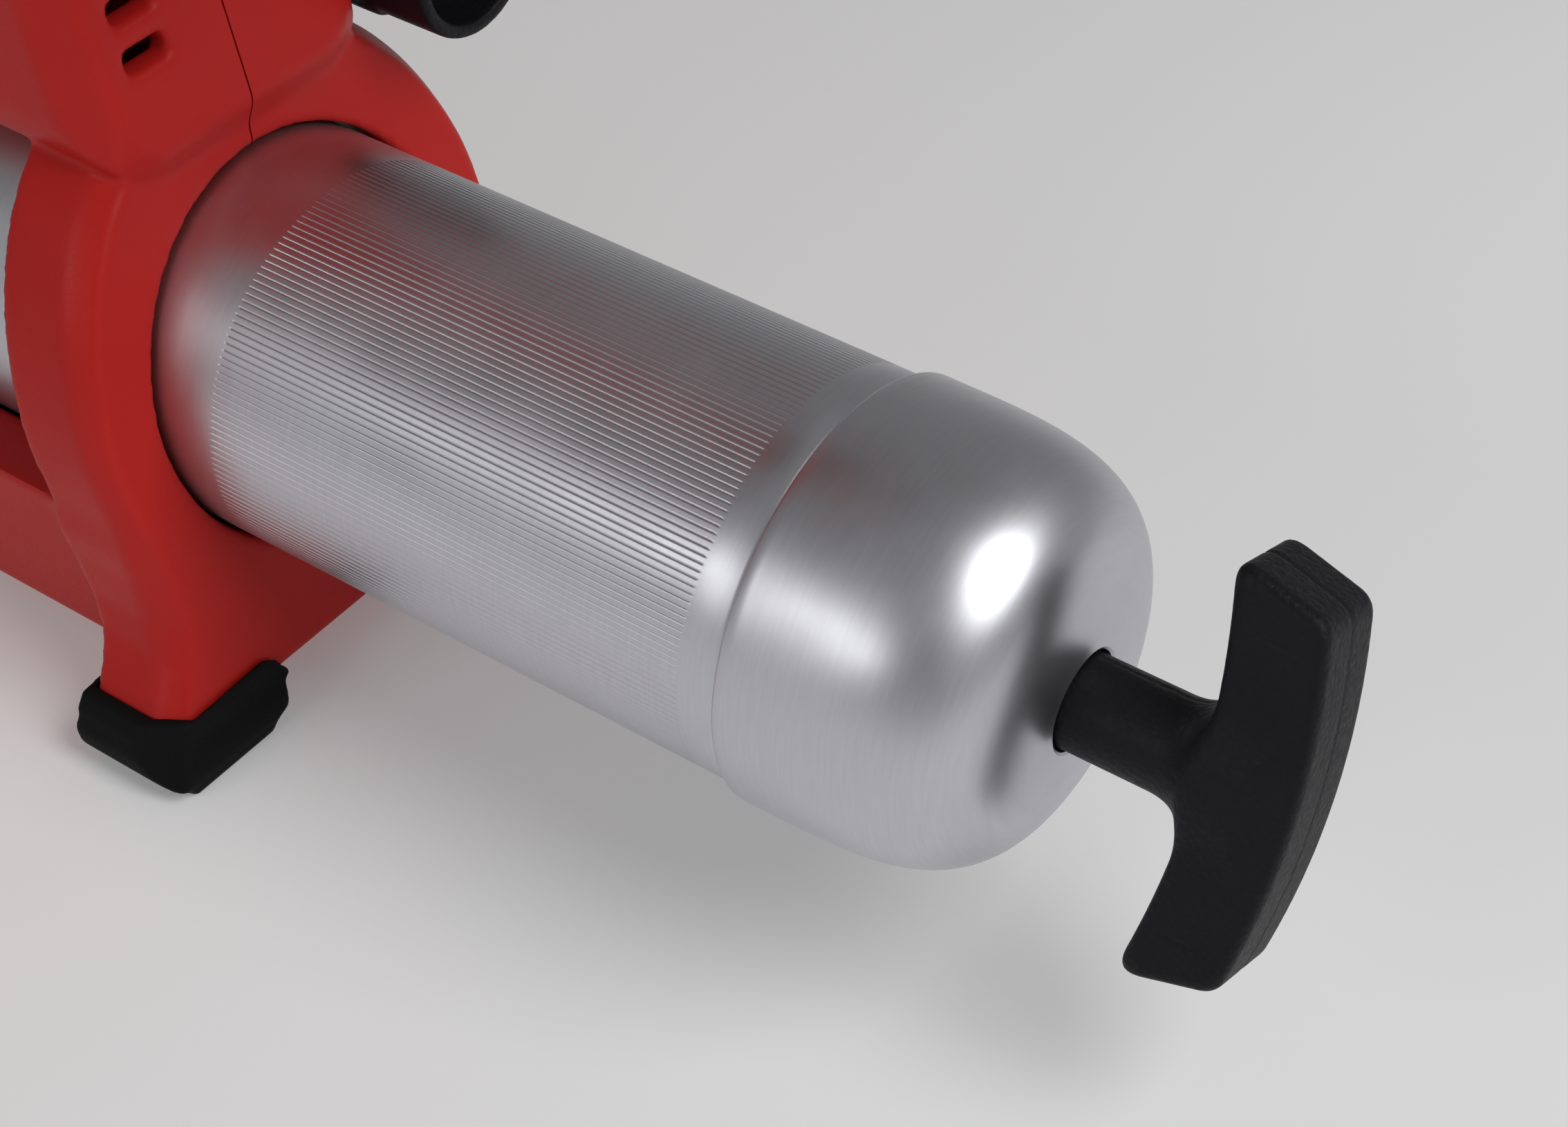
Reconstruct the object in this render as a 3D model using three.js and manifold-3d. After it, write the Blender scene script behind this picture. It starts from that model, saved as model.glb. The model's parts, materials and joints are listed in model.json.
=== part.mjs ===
// Cordless dispensing gun: a screw-in barrel held in a clamshell cage, a pull-back plunger rod with a
// T-handle at the rear, and a motor, gearbox and piston pump above and in front of the barrel.
//
// Working frame, millimetres: +X forward along the barrel axis, +Y to the left, +Z up, with the zero
// on the barrel axis at the middle of the rear ring's hole. The finished group is then stood on the
// ground, with its origin at the middle of its footprint.
import * as THREE from 'three';
import { mergeVertices } from 'three/addons/utils/BufferGeometryUtils.js';
import Module from 'manifold-3d';

const wasm = await Module();
wasm.setup();

// ---------------------------------------------------------------- driving dimensions
const GROUND = -52;
const GAP = 0.3;

const barrel = { outer: 30, wall: 2, rear: -95.3, front: 146, sides: 48 };
const cap = { seam: 95.6, radius: 31.3, depth: 36, power: 3.8, wall: 2.6, hole: 7.7, steps: 6 };
const rod = { radius: 4, rear: -142, front: 143 };
const handle = { roll: THREE.MathUtils.degToRad(21), thickness: 15.2, tip: 28, neck: 6.8, neckFront: 122.2 };
const follower = { rear: 112, front: 132 };

const ring = { hole: 31, halfWidth: 42.4, halfHeight: 47, depth: 16, lean: 0.2, bevel: 2 };
const body = { half: 27, bottom: 35.5, top: 96, front: 170, lean: 0.24, rear: 6.2, bevel: 4, wall: 2.8 };
const beam = { bottom: -46, halfBottom: 32, halfTop: 36.5, top: -16, front: 150, wall: 3 };
const collar = { rear: 128, front: 150, halfWidth: 39, halfHeight: 42 };
const grip = { half: 20.5, wall: 2.8, top: 177, under: 134 };
const seam = 0.15;

const motorZ = 66;
const gear = { module: 0.8, sun: 12, planet: 18, ring: 48, rear: 97, front: 107 };
const crank = { throw: 4, pin: 2.5 };
const pump = { boreX: 159, bore: 4.25, piston: 4 };
const holder = { y: -37.7, z: 46.6, outer: 12.3, inner: 10.2, rear: -4, front: 14 };

// ---------------------------------------------------------------- materials
function finish(color, roughness, metalness) {
  return () => new THREE.MeshStandardMaterial({ color, roughness, metalness });
}

const redPlastic = finish(0xb02822, 0.5, 0);
const blackPlastic = finish(0x1d1d20, 0.55, 0);
const blackRubber = finish(0x161617, 0.85, 0);
const aluminium = finish(0xa9a9b0, 0.35, 0.9);
const castMetal = finish(0x8d8f92, 0.55, 0.8);
const steel = finish(0x9a9c9f, 0.3, 0.95);
const brass = finish(0xb08d4a, 0.35, 0.9);
const circuitGreen = finish(0x1f5a36, 0.6, 0);
const clearPlastic = finish(0xdfe6ea, 0.1, 0);

// ---------------------------------------------------------------- solids
const toX = new THREE.Matrix4().makeBasis(
  new THREE.Vector3(0, 1, 0), new THREE.Vector3(0, 0, 1), new THREE.Vector3(1, 0, 0));
const toY = new THREE.Matrix4().makeRotationX(Math.PI / 2);

// A closed three.js geometry as a solid, turned outside out if its faces point in.
function solid(geometry) {
  const bare = geometry.clone();
  bare.deleteAttribute('normal');
  bare.deleteAttribute('uv');
  const merged = mergeVertices(bare, 1e-4);
  const vertProperties = new Float32Array(merged.attributes.position.array);
  const triVerts = new Uint32Array(merged.index.array);
  const made = new wasm.Manifold(new wasm.Mesh({ numProp: 3, vertProperties, triVerts }));
  if (made.volume() > 0) return made;
  const flipped = triVerts.map((_, i) => triVerts[i - (i % 3) + (2 - (i % 3))]);
  return new wasm.Manifold(new wasm.Mesh({ numProp: 3, vertProperties, triVerts: flipped }));
}

const join = (first, ...rest) => rest.reduce((whole, next) => whole.add(next), first);
const cut = (first, ...rest) => rest.reduce((whole, next) => whole.subtract(next), first);

function outline(points) {
  return new THREE.Shape(points.map(([x, y]) => new THREE.Vector2(x, y)));
}

function extrude(shape, depth, bevel = {}) {
  return new THREE.ExtrudeGeometry(shape, { depth, bevelEnabled: false, curveSegments: 4, ...bevel });
}

// An outline in Y and Z pushed along X, between two places.
function alongX(shape, from, to, bevel) {
  const inset = bevel?.bevelThickness ?? 0;
  return extrude(shape, to - from - 2 * inset, bevel).applyMatrix4(toX).translate(from + inset, 0, 0);
}

// An outline in X and Z pushed along Y, between two places.
function alongY(shape, from, to, bevel) {
  const inset = bevel?.bevelThickness ?? 0;
  return extrude(shape, to - from - 2 * inset, bevel).applyMatrix4(toY).translate(0, to - inset, 0);
}

function box(x0, x1, y0, y1, z0, z1) {
  return new THREE.BoxGeometry(x1 - x0, y1 - y0, z1 - z0)
    .translate((x0 + x1) / 2, (y0 + y1) / 2, (z0 + z1) / 2);
}

// Rods and holes, each between two places on its own axis.
function rodX(radius, from, to, y = 0, z = 0, sides = 32) {
  return new THREE.CylinderGeometry(radius, radius, to - from, sides)
    .rotateZ(-Math.PI / 2).translate((from + to) / 2, y, z);
}

function rodY(radius, from, to, x, z, sides = 10) {
  return new THREE.CylinderGeometry(radius, radius, to - from, sides).translate(x, (from + to) / 2, z);
}

function rodZ(radius, from, to, x, y, sides = 24) {
  return new THREE.CylinderGeometry(radius, radius, to - from, sides)
    .rotateX(Math.PI / 2).translate(x, y, (from + to) / 2);
}

// A profile of [place along the axis, radius] pairs turned about X.
function turned(profile, sides = 18) {
  const points = profile.map(([along, radius]) => new THREE.Vector2(radius, along));
  return new THREE.LatheGeometry(points, sides).rotateZ(-Math.PI / 2);
}

// A hollow profile closed on itself: the outside, then the inside back to the start.
function ringProfile(from, to, inner, outer) {
  return [[from, inner], [from, outer], [to, outer], [to, inner], [from, inner]];
}

function leaning(geometry, lean) {
  const shear = new THREE.Matrix4().set(1, 0, lean, 0, 0, 1, 0, 0, 0, 0, 1, 0, 0, 0, 0, 1);
  return geometry.applyMatrix4(shear);
}

function roundedBox(x0, x1, z0, z1, radius) {
  const shape = new THREE.Shape();
  shape.moveTo(x0 + radius, z0);
  shape.lineTo(x1 - radius, z0);
  shape.absarc(x1 - radius, z0 + radius, radius, -Math.PI / 2, 0);
  shape.absarc(x1 - radius, z1 - radius, radius, 0, Math.PI / 2);
  shape.absarc(x0 + radius, z1 - radius, radius, Math.PI / 2, Math.PI);
  shape.absarc(x0 + radius, z0 + radius, radius, Math.PI, 1.5 * Math.PI);
  return shape;
}

const gun = new THREE.Group();

function place(name, shape, material) {
  let geometry = shape;
  if (!shape.isBufferGeometry) {
    const { vertProperties, triVerts } = shape.getMesh();
    geometry = new THREE.BufferGeometry();
    geometry.setAttribute('position', new THREE.BufferAttribute(vertProperties, 3));
    geometry.setIndex(new THREE.BufferAttribute(triVerts, 1));
    geometry.computeVertexNormals();
  }
  const mesh = new THREE.Mesh(geometry, material());
  mesh.name = name;
  gun.add(mesh);
  return mesh;
}

// ---------------------------------------------------------------- clamshell housing
// The rear ring's outline with its two splayed legs, in Y and Z.
function ringShape(halfWidth, halfHeight, legs) {
  const shape = new THREE.Shape();
  const waist = Math.asin(-28 / halfHeight);
  shape.moveTo(0, beam.bottom);
  if (legs) {
    [[23.5, -46], [30, -49.2], [45, -49.2], [48, -46], [45, -38.5]].forEach(([y, z]) => shape.lineTo(y, z));
    shape.absellipse(0, 0, halfWidth, halfHeight, waist, Math.PI - waist);
    [[-45, -38.5], [-48, -46], [-45, -49.2], [-30, -49.2], [-23.5, -46]].forEach(([y, z]) => shape.lineTo(y, z));
  } else {
    shape.lineTo(26, beam.bottom);
    shape.absellipse(0, 0, halfWidth, halfHeight, waist, Math.PI - waist);
    shape.lineTo(-26, beam.bottom);
  }
  return shape;
}

function bodyShape(inset) {
  const half = body.half - inset;
  const low = body.bottom + inset;
  const high = body.top - inset;
  return outline([[half - 9, low], [half, low + 13], [half, high - 14], [half - 9, high - 3], [half - 17, high],
    [17 - half, high], [9 - half, high - 3], [-half, high - 14], [-half, low + 13], [9 - half, low]]);
}

function beamShape(inset) {
  return outline([[-beam.halfBottom + inset, beam.bottom + inset], [beam.halfBottom - inset, beam.bottom + inset],
    [beam.halfTop - inset, beam.top - inset], [-beam.halfTop + inset, beam.top - inset]]);
}

// The top handle's side view, in X and Z: rear post, battery end, grip bar and front post.
function handleShape(inset) {
  return outline([[16 + inset, 86], [2 + inset, 116], [-12, 127 + inset], [-44, 131 + inset], [-44, grip.top - inset],
    [60, grip.top - 1 - inset], [122 - inset, 171 - inset], [148 - inset, 152 - inset], [158 - inset, 118],
    [160 - inset, 86]]);
}

const fingerHole = roundedBox(30, 114, 101, grip.under, 10);

const screws = [
  { name: 'screw_beam_rear', x: 42, z: -39, head: -22 },
  { name: 'screw_beam_front', x: 112, z: -39, head: -22 },
  { name: 'screw_rear_post', x: 17, z: 117, head: -13 },
  { name: 'screw_front_post', x: 136, z: 110, head: -13 },
  { name: 'screw_handle_front', x: 124, z: 158, head: -13 },
];

function housingOuter() {
  const bevel = { bevelEnabled: true, bevelSegments: 1 };
  const ringBevel = { ...bevel, bevelThickness: 3, bevelSize: ring.bevel, bevelOffset: -ring.bevel, curveSegments: 12 };
  const bodyBevel = { ...bevel, bevelThickness: 8, bevelSize: body.bevel, bevelOffset: -body.bevel };
  const softBevel = { ...bevel, bevelThickness: 4.8, bevelSize: 4.2, bevelOffset: -4.2 };
  const ringSlab = leaning(alongX(ringShape(ring.halfWidth, ring.halfHeight, true), 0, ring.depth, ringBevel), ring.lean);
  const rearX = body.rear - body.lean * 38.8;
  const upper = leaning(alongX(bodyShape(0), rearX, body.front + 8, bodyBevel), body.lean);
  const lower = alongX(beamShape(0), 6, beam.front);
  const front = alongX(ringShape(collar.halfWidth, collar.halfHeight, false), collar.rear, collar.front, ringBevel);
  const loop = solid(alongY(handleShape(0), -grip.half, grip.half, softBevel));
  const ahead = solid(box(body.front, body.front + 80, -60, 60, 0, 120));
  return cut(join(solid(ringSlab), solid(upper), solid(lower), solid(front), loop), ahead);
}

function housingHollow() {
  const rearX = body.rear - body.lean * 38.8 + body.wall + 2;
  const upper = leaning(alongX(bodyShape(body.wall), rearX, body.front), body.lean);
  const frontLimit = solid(box(body.front - body.wall, body.front + 80, -60, 60, 0, 120));
  const motorBay = cut(solid(upper), frontLimit);
  const lowerBay = cut(solid(alongX(beamShape(beam.wall), 22, 126)), solid(rodX(34.6, 0, 160, 0, 0, 32)));
  const inner = grip.half - grip.wall;
  const bar = cut(
    solid(alongY(handleShape(grip.wall), -inner, inner)),
    solid(alongY(roundedBox(27.2, 116.8, 98.2, grip.under + grip.wall, 10), -40, 40)));
  const batteryMouth = solid(box(-60, -30, -inner, inner, grip.under + grip.wall, grip.top - grip.wall - 1.5));
  return join(motorBay, lowerBay, bar, batteryMouth);
}

function ventSlots() {
  const slots = [];
  for (let row = 0; row < 4; row += 1) {
    for (const side of [-1, 1]) {
      const z = 52.3 + row * 7;
      const y = side * 14.7;
      slots.push(solid(box(0, 24, y - 3.8, y + 3.8, z - 1.6, z + 1.6)));
    }
  }
  return slots;
}

function housing() {
  const outer = housingOuter();
  const bosses = screws.map(({ x, z }) => solid(rodY(5, -60, 60, x, z, 12)));
  const bossBody = join(...bosses).intersect(outer);
  const shell = join(outer.subtract(housingHollow()), bossBody);
  const screwHoles = screws.flatMap(({ x, z, head }) => [
    solid(rodY(2.2, head - 1, 16, x, z)), solid(rodY(4.3, -60, head, x, z))]);
  const open = cut(shell,
    solid(rodX(ring.hole, -60, collar.rear - 0.5, 0, 0, 48)),
    solid(rodX(35.4, collar.rear - 0.5, 200, 0, 0, 40)),
    solid(alongY(fingerHole, -40, 40)),
    solid(box(76, 111, -8.6, 8.6, 125, 142)),
    solid(rodY(4.5, -40, 40, 117, 147, 16)),
    solid(rodY(9, -4.6, 4.6, 137, 161, 24)),
    solid(box(148, 175, -14, 14, 20, 46.5)),
    solid(box(149, 175, -20.5, 20.5, 0, 40.4)),
    solid(rodX(4.6, 160, 180, 0, 82, 20)),
    ...ventSlots(), ...screwHoles);
  const left = open.intersect(solid(box(-200, 260, seam, 80, -100, 240)));
  const right = open.intersect(solid(box(-200, 260, -80, -seam, -100, 240)));
  place('housing_left', left, redPlastic);
  place('housing_right', right, redPlastic);
}

function clamshellScrews() {
  for (const { name, x, z, head } of screws) {
    const profile = [[head - 3, 0], [head - 3, 3.6], [head - 0.3, 3.6], [head - 0.3, 1.9], [14, 1.9], [15.5, 0]];
    const screw = place(name, turned(profile, 10), steel);
    screw.rotation.z = Math.PI / 2;
    screw.position.set(x, 0, z);
  }
}

// Rubber boots over the legs and a rubber pad under the front collar.
function feet() {
  const legLean = ring.lean;
  for (const [name, side] of [['rear_foot_left', 1], ['rear_foot_right', -1]]) {
    const section = [[24.4, -41.2], [22.3, -45.4], [28.6, GROUND], [46, GROUND], [50, -48], [49.4, -42.4], [46.8, -38.8],
      [44, -39.4], [27, -39.4]].map(([y, z]) => [side * y, z]);
    const bevel = { bevelEnabled: true, bevelSegments: 1, bevelThickness: 1.5, bevelSize: 1.5, bevelOffset: -1.5 };
    const block = solid(leaning(alongX(outline(section), -1.4, ring.depth + 1.4, bevel), legLean));
    const leg = solid(leaning(alongX(ringShape(ring.halfWidth, ring.halfHeight, true), -0.25, ring.depth + 0.25), legLean));
    const room = solid(leaning(alongX(outline(
      [[22, -45.7], [30, -49.5], [45.2, -49.5], [48.4, -46], [44.6, -36], [22, -36]].map(([y, z]) => [side * y, z])),
    -0.25, ring.depth + 0.25), legLean));
    const underBeam = solid(alongX(beamShape(-GAP), 2, 60));
    place(name, cut(block, leg, room, underBeam), blackRubber);
  }
  const pad = alongX(roundedBox(-30, 30, GROUND, beam.bottom - GAP, 2), collar.rear, collar.front - 2);
  place('front_foot', solid(pad), blackRubber);
}

// ---------------------------------------------------------------- barrel, plunger and follower
function barrelTube() {
  const inner = barrel.outer - barrel.wall;
  place('barrel_tube', turned(ringProfile(barrel.rear, barrel.front, inner, barrel.outer), barrel.sides), aluminium);
  place('barrel_seal', turned(ringProfile(barrel.front + 0.3, barrel.front + 2.3, 26, 29.6), 28), blackRubber);
}

// Radius of the domed cap at a distance behind its front rim.
function domeRadius(radius, depth, behind) {
  return radius * (1 - (behind / depth) ** cap.power) ** (1 / cap.power);
}

function domeCurve(radius, depth, start, endRadius) {
  const points = [];
  const last = depth * (1 - (endRadius / radius) ** cap.power) ** (1 / cap.power);
  for (let i = 0; i <= cap.steps; i += 1) {
    const behind = last * Math.sin((i / cap.steps) * Math.PI / 2);
    points.push([start + behind, domeRadius(radius, depth, behind)]);
  }
  return points;
}

function endCap() {
  const { seam: start, radius, depth, wall, hole } = cap;
  const outside = domeCurve(radius, depth, start + 0.8, hole + 1.6);
  const lip = outside[outside.length - 1][0];
  const inside = domeCurve(radius - wall, depth - wall, start, 12.5).reverse();
  const profile = [
    [start - 14, 25.2], [start - 14, 27.6], [start, 27.6], [start, radius - 0.8], ...outside, [lip - 1.4, hole],
    [121.4, hole], [121.4, 10], [113, 10], [113, 12.5], ...inside.slice(0, -1), [start + 2, 25.2], [start - 14, 25.2],
  ].map(([behind, r]) => [-behind, r]).reverse();
  place('end_cap', turned(profile, 32), aluminium);
  place('rod_bush', turned(ringProfile(-121.1, -113.3, rod.radius + 0.25, 9.7)), blackPlastic);
}

function plungerRod() {
  place('plunger_rod', turned([[rod.rear, 0], [rod.rear, 3.9], [rod.front, 3.9], [rod.front, 0]], 20), steel);
  const behindNut = follower.front + 2.6;
  place('rod_washer', turned(ringProfile(follower.front + 0.4, behindNut - 0.3, 4.2, 8), 24), steel);
  const nut = solid(rodX(6.8, behindNut, behindNut + 5, 0, 0, 6));
  place('rod_nut', cut(nut, solid(rodX(4.2, behindNut - 1, behindNut + 6, 0, 0, 20))), steel);
}

// The bowed bar of the handle in its own plane: across the bar, and behind the barrel's zero.
function tHandle() {
  const { tip, thickness, neck, neckFront, roll } = handle;
  const shape = new THREE.Shape();
  shape.moveTo(-tip, 149.2);
  shape.quadraticCurveTo(0, 155.4, tip, 149.2);
  shape.lineTo(tip + 0.6, 151);
  shape.lineTo(25.6, 162.2);
  shape.quadraticCurveTo(0, 168, -25.6, 162.2);
  shape.lineTo(-tip - 0.6, 151);
  const bevel = { bevelEnabled: true, bevelSegments: 1, bevelThickness: 1.6, bevelSize: 1.6, bevelOffset: -1.6,
    curveSegments: 10 };
  const toBar = new THREE.Matrix4().makeBasis(
    new THREE.Vector3(0, 0, 1), new THREE.Vector3(-1, 0, 0), new THREE.Vector3(0, -1, 0));
  const bar = extrude(shape, thickness - 3.2, bevel).applyMatrix4(toBar).translate(0, thickness / 2 - 1.6, 0);
  const stem = turned([[-156, 0], [-156, 8.4], [-151, 8.4], [-148.4, 7.4], [-145.6, neck], [-neckFront, neck],
    [-neckFront, 0]], 32);
  const socket = rodX(4.2, rod.rear - 1, 0, 0, 0, 20);
  const made = place('t_handle', cut(join(solid(bar), solid(stem)), solid(socket)), blackPlastic);
  made.rotation.x = roll;
}

function followerCup() {
  const { rear, front } = follower;
  place('follower', turned([
    [rear, 4.4], [rear, 26.5], [front - 8, 26.5], [front - 8, 24], [front - 3, 24], [front, 18], [front, 4.4],
    [rear, 4.4]], 28), steel);
  place('follower_seal', turned([
    [front - 7.7, 24.3], [front - 7.7, 27.5], [front - 1, 27.8], [front - 1, 26.6], [front - 4, 25.2], [front - 4, 24.3],
    [front - 7.7, 24.3]], 28), blackRubber);
}

class Helix extends THREE.Curve {
  constructor(radius, from, to, turns) {
    super();
    Object.assign(this, { radius, from, to, turns });
  }

  getPoint(t, target = new THREE.Vector3()) {
    const angle = 2 * Math.PI * this.turns * t;
    return target.set(
      this.from + (this.to - this.from) * t, this.radius * Math.cos(angle), this.radius * Math.sin(angle));
  }
}

function spring(name, { radius, wire, from, to, turns, perTurn, sides }) {
  const section = new THREE.Shape();
  section.absarc(0, 0, wire, 0, 2 * Math.PI);
  const path = new Helix(radius, from, to, turns);
  const points = section.getPoints(sides).slice(0, sides);
  const geometry = new THREE.ExtrudeGeometry(new THREE.Shape(points), {
    steps: turns * perTurn, bevelEnabled: false, extrudePath: path });
  return place(name, geometry, steel);
}

// ---------------------------------------------------------------- motor, gearbox and pump
function motor() {
  place('motor_can', turned([
    [34, 4], [34, 18.6], [90, 18.6], [90, 4], [88.8, 4], [88.8, 17.2], [35.2, 17.2], [35.2, 4], [34, 4]], 24),
  steel).position.z = motorZ;
  place('motor_rotor', turned([
    [20.5, 0], [20.5, 2.4], [38, 2.4], [38, 6], [46, 6], [46, 2.4], [50, 2.4], [50, 15], [82, 15], [82, 2.4],
    [108.5, 2.4], [108.5, 0]], 20), steel).position.z = motorZ;
  place('motor_bearing', turned(ringProfile(21, 24.4, 2.7, 7)), steel).position.z = motorZ;
  place('motor_bearing_seat', turned(ringProfile(21, 24.4, 7.3, 12)), blackPlastic).position.z = motorZ;
  fan();
}

function fan() {
  const blades = 9;
  const points = [];
  for (let i = 0; i < blades; i += 1) {
    const start = (i / blades) * 2 * Math.PI;
    for (const [radius, turn] of [[7, 0], [17, 0.12], [17, 0.3], [7, 0.34]]) {
      points.push([radius * Math.cos(start + turn), radius * Math.sin(start + turn)]);
    }
  }
  const shape = outline(points);
  shape.holes.push(new THREE.Path().absarc(0, 0, 2.7, 0, 2 * Math.PI, true));
  place('cooling_fan', alongX(shape, 26, 32.5), blackPlastic).position.z = motorZ;
}

// A gear's outline, with a tooth centred on angle zero. Inner teeth point inwards on a ring gear.
function toothed(teeth, inward) {
  const pitch = (gear.module * teeth) / 2;
  const step = (2 * Math.PI) / teeth;
  const side = inward ? -1 : 1;
  const root = pitch - side * 1.25 * gear.module;
  const tip = pitch + side * 0.8 * gear.module;
  const points = [];
  for (let i = 0; i < teeth; i += 1) {
    for (const [radius, turn] of [[root, -0.28], [tip, -0.11], [tip, 0.11], [root, 0.28]]) {
      const angle = (i + turn) * step;
      points.push([radius * Math.cos(angle), radius * Math.sin(angle)]);
    }
  }
  return points;
}

function gearbox() {
  const { rear, front, sun, planet } = gear;
  const orbit = (gear.module * (sun + planet)) / 2;
  const sunShape = outline(toothed(sun, false));
  sunShape.holes.push(new THREE.Path().absarc(0, 0, 2.6, 0, 2 * Math.PI, true));
  place('sun_gear', alongX(sunShape, rear, front, { curveSegments: 8 }), steel).position.z = motorZ;

  const ringShapeOuter = new THREE.Shape();
  ringShapeOuter.absarc(0, 0, 22.2, 0, 2 * Math.PI);
  ringShapeOuter.holes.push(new THREE.Path(toothed(gear.ring, true).map(([y, z]) => new THREE.Vector2(y, z))));
  place('ring_gear', alongX(ringShapeOuter, rear - 0.5, front + 0.5, { curveSegments: 18 }), steel).position.z = motorZ;

  const pins = [];
  ['planet_gear_a', 'planet_gear_b', 'planet_gear_c'].forEach((name, i) => {
    const angle = (i * 2 * Math.PI) / 3;
    const halfTooth = Math.PI / planet;
    const shape = outline(toothed(planet, false));
    shape.holes.push(new THREE.Path().absarc(0, 0, 2.3, 0, 2 * Math.PI, true));
    const mesh = place(name, alongX(shape, rear, front, { curveSegments: 8 }), steel);
    mesh.rotation.x = angle + halfTooth;
    mesh.position.set(0, orbit * Math.cos(angle), motorZ + orbit * Math.sin(angle));
    pins.push(solid(rodX(2, rear, front + 4, orbit * Math.cos(angle), orbit * Math.sin(angle), 16)));
  });

  const plate = solid(turned([[109, 0], [109, 15.5], [112, 15.5], [112, 5], [150, 5], [150, 0]], 32));
  place('planet_carrier', join(plate, ...pins), steel).position.z = motorZ;
  place('gearcase', turned([
    [92, 6], [92, 23.8], [144, 23.8], [144, 5.6], [142.4, 5.6], [142.4, 9.6], [134, 9.6], [134, 22.5], [94, 22.5],
    [94, 6], [92, 6]], 24), castMetal).position.z = motorZ;
  place('output_bearing', turned(ringProfile(134.3, 142.1, 5.25, 9.3)), steel).position.z = motorZ;

  const disc = solid(turned(ringProfile(145, 149.8, 5.2, 11)));
  const web = solid(turned([[150.3, 0], [150.3, 11], [152.5, 11], [152.5, 0]]));
  const rim = solid(turned(ringProfile(149, 151, 8, 11)));
  const pin = solid(rodX(crank.pin, 152, 165.5, crank.throw, 0, 16));
  place('crank', join(disc, web, rim, pin), steel).position.z = motorZ;
}

function pumpHead() {
  const { boreX, bore } = pump;
  const casting = join(
    solid(rodX(35, collar.rear, 151, 0, 0, 40)),
    solid(alongX(roundedBox(-20, 20, -28, 40, 5), 150, 170)),
    solid(box(150, 168, -13, 13, 38, 44)));
  const open = cut(casting,
    solid(rodX(30.4, collar.rear - 1, barrel.front + 0.1, 0, 0, 40)),
    solid(rodX(29.9, barrel.front, barrel.front + 2.6, 0, 0, 40)),
    solid(rodX(25, barrel.front, 150, 0, 0, 32)),
    solid(rodZ(bore, 5, 50, boreX, 0)),
    solid(rodX(3.5, 149, boreX, 0, 9, 16)),
    solid(rodZ(5.4, -14, 5.2, boreX, 0)),
    solid(rodZ(6.2, -30, -12, boreX, 0)),
    solid(rodX(4.3, boreX, 172, 0, -6, 20)),
    solid(rodY(3, 3, 24, boreX, 22)),
    solid(rodY(3, -24, -3, boreX, 22)));
  place('pump_head', open, castMetal);

  place('check_ball', new THREE.SphereGeometry(4.6, 12, 8), steel).position.set(boreX, 0, -1.2);
  const plug = solid(turned([[-33, 0], [-33, 7.4], [-28.4, 7.4], [-28.4, 5.9], [-15, 5.9], [-15, 0]], 24));
  const plugMesh = place('check_valve_plug', plug, steel);
  plugMesh.rotation.y = -Math.PI / 2;
  plugMesh.position.set(boreX, 0, 0);
  const checkSpring = spring('check_spring', {
    radius: 3.6, wire: 0.5, from: -14.4, to: -6.4, turns: 4, perTurn: 10, sides: 4 });
  checkSpring.rotation.y = -Math.PI / 2;
  checkSpring.position.set(boreX, 0, 0);
  const fitting = cut(
    join(solid(turned([[170.4, 0], [170.4, 8], [178, 8], [178, 0]], 6)),
      solid(turned([[164, 0], [164, 4], [190, 4], [192, 3.4], [192, 0]], 24))),
    solid(rodX(1.9, 160, 196, 0, 0, 14)));
  place('outlet_fitting', fitting, steel).position.z = -6;

  const stem = [[4.9, 0], [5.9, 2.7], [20.4, 2.7], [20.4, 4.6], [24, 4.6], [25, 5.6], [31, 5.6], [31.6, 5], [31.6, 0]];
  const valve = place('bleed_valve', turned(stem), brass);
  valve.rotation.z = Math.PI / 2;
  valve.position.set(boreX, 0, 22);
  const nipple = [[4.9, 0], [5.9, 2.7], [20.4, 2.7], [20.4, 6], [24.5, 6], [24.5, 3], [27, 2.4], [29.5, 3.2], [31, 2],
    [31, 0]];
  const filler = place('filler_nipple', turned(nipple, 18), brass);
  filler.rotation.z = -Math.PI / 2;
  filler.position.set(boreX, 0, 22);
}

// The yoke's window is tall enough for the crank pin wherever the yoke stands.
function yokeAndPiston() {
  const half = crank.pin + crank.throw + 0.5;
  const frame = solid(box(155, 163, -half - 4, half + 4, motorZ - 15.5, motorZ + 15.5));
  const window = solid(box(150, 170, -half, half, motorZ - half - 4, motorZ + half + 4));
  const stud = solid(rodZ(6, motorZ - 17, motorZ - 14, pump.boreX, 0));
  const socket = solid(rodZ(3.3, motorZ - 18, motorZ - 12, pump.boreX, 0));
  place('yoke', cut(join(frame, stud), window, socket), steel);
  const plunger = [[15, 0], [15, pump.piston], [motorZ - 18.2, pump.piston], [motorZ - 18.2, 3], [motorZ - 12, 3],
    [motorZ - 12, 0]];
  const piston = place('pump_piston', turned(plunger, 20), steel);
  piston.rotation.y = -Math.PI / 2;
  piston.position.set(pump.boreX, 0, 0);
}

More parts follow.
